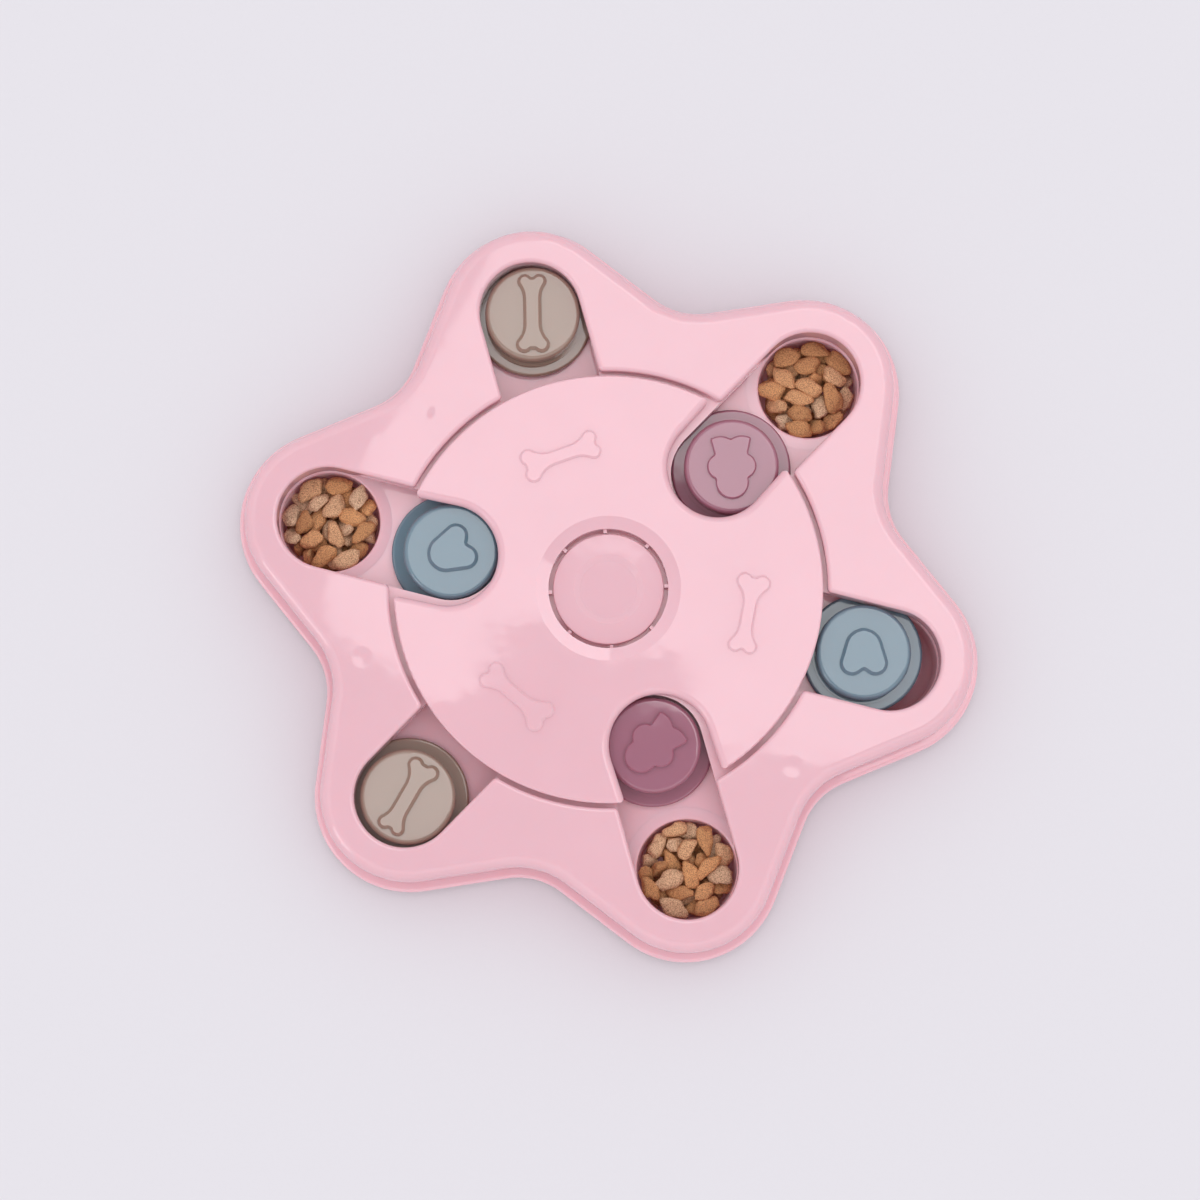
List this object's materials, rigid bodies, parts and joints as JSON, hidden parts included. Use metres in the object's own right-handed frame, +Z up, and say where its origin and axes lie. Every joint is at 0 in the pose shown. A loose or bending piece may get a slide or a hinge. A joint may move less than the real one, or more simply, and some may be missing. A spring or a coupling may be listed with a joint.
{
  "type": "dog puzzle feeder toy",
  "caption": "Star-shaped treat puzzle: round sliders cover food cups in radial slots, and a notched disc turns over their inner ends.",
  "frame": {"origin": "on the floor under the hub, the centre of the six-lobed outline", "axes": "+Z up through the hub, +X towards lobe 1, which holds a slider with a heart"},
  "size_m": [0.256, 0.2304, 0.0322],
  "materials": {
    "pink_plastic": "glossy moulded ABS, faintly wavy",
    "blue_plastic": "glossy moulded ABS",
    "brown_plastic": "glossy moulded ABS",
    "purple_plastic": "glossy moulded ABS",
    "screw_steel": "zinc-plated steel",
    "foot_rubber": "matt grey-white rubber"
  },
  "bodies": {
    "housing": {"base_tray": "pink_plastic", "top_shell": "pink_plastic", "centre_cap": "pink_plastic", "hub_screw": "screw_steel", "shell_screws": "screw_steel", "food_cup_1": "pink_plastic", "foot_pad_1": "foot_rubber", "food_cup_2": "pink_plastic", "foot_pad_2": "foot_rubber", "food_cup_3": "pink_plastic", "foot_pad_3": "foot_rubber", "food_cup_4": "pink_plastic", "foot_pad_4": "foot_rubber", "food_cup_5": "pink_plastic", "foot_pad_5": "foot_rubber", "food_cup_6": "pink_plastic", "foot_pad_6": "foot_rubber"},
    "disc": {"selector_disc": "pink_plastic"},
    "slider_1": {"slider_base_1": "blue_plastic"},
    "button_1": {"heart_cap_1": "blue_plastic"},
    "slider_2": {"slider_base_2": "purple_plastic"},
    "button_2": {"cat_cap_2": "purple_plastic"},
    "slider_3": {"slider_base_3": "brown_plastic"},
    "button_3": {"bone_cap_3": "brown_plastic"},
    "slider_4": {"slider_base_4": "blue_plastic"},
    "button_4": {"heart_cap_4": "blue_plastic"},
    "slider_5": {"slider_base_5": "brown_plastic"},
    "button_5": {"bone_cap_5": "brown_plastic"},
    "slider_6": {"slider_base_6": "purple_plastic"},
    "button_6": {"cat_cap_6": "purple_plastic"}
  },
  "joints": [
    {"name": "disc_turn", "type": "hinge", "parent": "housing", "child": "disc", "pos_m": [0, 0, 0.03], "axis": [0, 0, 1], "continuous": true},
    {"name": "slide_1", "type": "slide", "parent": "housing", "child": "slider_1", "axis": [1, 0, 0], "range_m": [-0.0336, 0.009]},
    {"name": "cap_turn_1", "type": "hinge", "parent": "slider_1", "child": "button_1", "pos_m": [0.088, 0.00063, 0.0197], "axis": [0, 0, 1], "continuous": true},
    {"name": "slide_2", "type": "slide", "parent": "housing", "child": "slider_2", "axis": [0.5, 0.866, 0], "range_m": [-0.0043, 0.0383]},
    {"name": "cap_turn_2", "type": "hinge", "parent": "slider_2", "child": "button_2", "pos_m": [0.0299, 0.05052, 0.0197], "axis": [0, 0, 1], "continuous": true},
    {"name": "slide_3", "type": "slide", "parent": "housing", "child": "slider_3", "axis": [-0.5, 0.866, 0], "range_m": [-0.0425, 0.0001]},
    {"name": "cap_turn_3", "type": "hinge", "parent": "slider_3", "child": "button_3", "pos_m": [-0.04781, 0.08429, 0.0197], "axis": [0, 0, 1], "continuous": true},
    {"name": "slide_4", "type": "slide", "parent": "housing", "child": "slider_4", "axis": [-1, 0, 0], "range_m": [0, 0.0426]},
    {"name": "cap_turn_4", "type": "hinge", "parent": "slider_4", "child": "button_4", "pos_m": [-0.0544, -0.00052, 0.0197], "axis": [0, 0, 1], "continuous": true},
    {"name": "slide_5", "type": "slide", "parent": "housing", "child": "slider_5", "axis": [-0.5, -0.866, 0], "range_m": [-0.0421, 0.0005]},
    {"name": "cap_turn_5", "type": "hinge", "parent": "slider_5", "child": "button_5", "pos_m": [-0.0478, -0.08383, 0.0197], "axis": [0, 0, 1], "continuous": true},
    {"name": "slide_6", "type": "slide", "parent": "housing", "child": "slider_6", "axis": [0.5, -0.866, 0], "range_m": [0, 0.0426]},
    {"name": "cap_turn_6", "type": "hinge", "parent": "slider_6", "child": "button_6", "pos_m": [0.02738, -0.04701, 0.0197], "axis": [0, 0, 1], "continuous": true}
  ]
}
